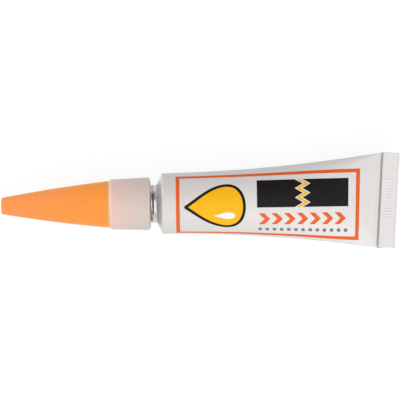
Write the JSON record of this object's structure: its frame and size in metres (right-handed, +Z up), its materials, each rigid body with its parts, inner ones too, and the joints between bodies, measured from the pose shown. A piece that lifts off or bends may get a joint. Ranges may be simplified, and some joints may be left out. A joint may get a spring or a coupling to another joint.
{
  "type": "super glue tube",
  "caption": "Crimped aluminium glue tube lying on its side, with a screw-down piercing nozzle on its threaded neck and a tapered pull-off cap over the spout.",
  "frame": {"origin": "on the surface that the tube lies on, under the middle of its length", "axes": "+X along the tube from the cap to the folded tail, +Y across the tail, +Z up, out of the printed face"},
  "size_m": [0.0856, 0.0206, 0.013],
  "materials": {
    "enamelled_aluminium": "satin white enamel on the sleeve, bare metal on shoulder and neck",
    "sealing_latex": "matte",
    "clear_adhesive": "clear liquid",
    "bare_aluminium": "bare foil",
    "natural_polyethylene": "translucent milky moulding",
    "orange_polyethylene": "satin moulding"
  },
  "bodies": {
    "tube": {"tube_shell": "enamelled_aluminium", "tail_seal": "sealing_latex", "adhesive": "clear_adhesive"},
    "membrane": {"neck_membrane": "bare_aluminium"},
    "nozzle": {"nozzle": "natural_polyethylene"},
    "cap": {"cap": "orange_polyethylene"}
  },
  "joints": [
    {"name": "nozzle_feed", "type": "slide", "parent": "tube", "child": "membrane", "axis": [1, 0, 0], "range_m": [0, 0.00135]},
    {"name": "nozzle_turn", "type": "hinge", "parent": "membrane", "child": "nozzle", "pos_m": [-0.015, 0, 0.0065], "axis": [1, 0, 0], "range_deg": [0, 389]},
    {"name": "cap_pull", "type": "slide", "parent": "nozzle", "child": "cap", "axis": [-1, 0, 0], "range_m": [0, 0.026]}
  ],
  "couplings": [
    {"joint": "nozzle_turn", "follows": "nozzle_feed", "rad_per_m": 5026.5}
  ]
}
